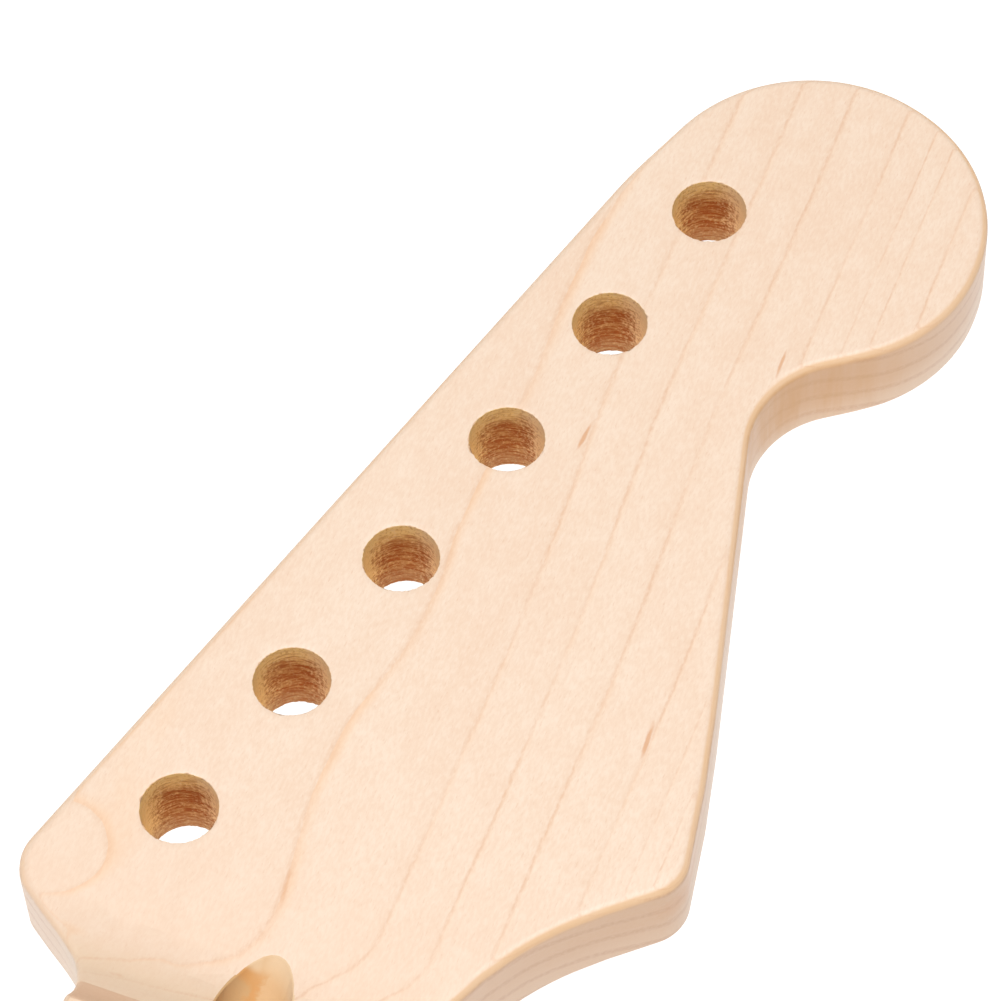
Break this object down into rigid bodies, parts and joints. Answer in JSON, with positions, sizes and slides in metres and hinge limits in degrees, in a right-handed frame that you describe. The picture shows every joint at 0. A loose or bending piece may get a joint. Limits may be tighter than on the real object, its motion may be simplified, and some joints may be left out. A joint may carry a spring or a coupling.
{
  "type": "electric guitar neck",
  "caption": "Bolt-on maple electric guitar neck: flat square heel, round shaft, fretted radiused board, slotted nut, truss rod, and a one-sided in-line headstock drilled for tuners.",
  "frame": {"origin": "centre of the flat seat on the heel's back, where the four screws usually centre", "axes": "+X along the neck from heel to headstock tip, +Y to the bass side, +Z out of the fingerboard"},
  "size_m": [0.6662, 0.0904, 0.0273],
  "materials": {
    "maple_blank": "satin clear coat on pale maple",
    "maple_board": "satin clear coat on pale maple",
    "nut_bone": "polished bone-white",
    "fret_wire": "polished nickel-silver wire",
    "dot_black": "sanded flush with the wood",
    "adjuster_steel": "oiled steel",
    "rod_steel": "plain steel"
  },
  "bodies": {
    "neck": {"neck_blank": "maple_blank", "fingerboard": "maple_board", "nut": "nut_bone", "fret_01": "fret_wire", "fret_02": "fret_wire", "fret_03": "fret_wire", "fret_04": "fret_wire", "fret_05": "fret_wire", "fret_06": "fret_wire", "fret_07": "fret_wire", "fret_08": "fret_wire", "fret_09": "fret_wire", "fret_10": "fret_wire", "fret_11": "fret_wire", "fret_12": "fret_wire", "fret_13": "fret_wire", "fret_14": "fret_wire", "fret_15": "fret_wire", "fret_16": "fret_wire", "fret_17": "fret_wire", "fret_18": "fret_wire", "fret_19": "fret_wire", "fret_20": "fret_wire", "fret_21": "fret_wire", "fret_22": "fret_wire", "inlay_dot_03": "dot_black", "inlay_dot_05": "dot_black", "inlay_dot_07": "dot_black", "inlay_dot_09": "dot_black", "inlay_dot_12_bass": "dot_black", "inlay_dot_12_treble": "dot_black", "inlay_dot_15": "dot_black", "inlay_dot_17": "dot_black", "inlay_dot_19": "dot_black", "inlay_dot_21": "dot_black", "side_dot_03": "dot_black", "side_dot_05": "dot_black", "side_dot_07": "dot_black", "side_dot_09": "dot_black", "side_dot_12_heel_side": "dot_black", "side_dot_12_nut_side": "dot_black", "side_dot_15": "dot_black", "side_dot_17": "dot_black", "side_dot_19": "dot_black", "side_dot_21": "dot_black", "truss_bar": "rod_steel", "truss_block_head": "rod_steel", "truss_block_heel": "rod_steel"},
    "truss_screw": {"truss_adjuster": "adjuster_steel", "truss_rod": "rod_steel"}
  },
  "joints": [
    {"name": "truss_screw_turn", "type": "hinge", "parent": "neck", "child": "truss_screw", "pos_m": [0.42, 0, 0.01305], "axis": [1, 0, 0], "range_deg": [-360, 360]}
  ]
}
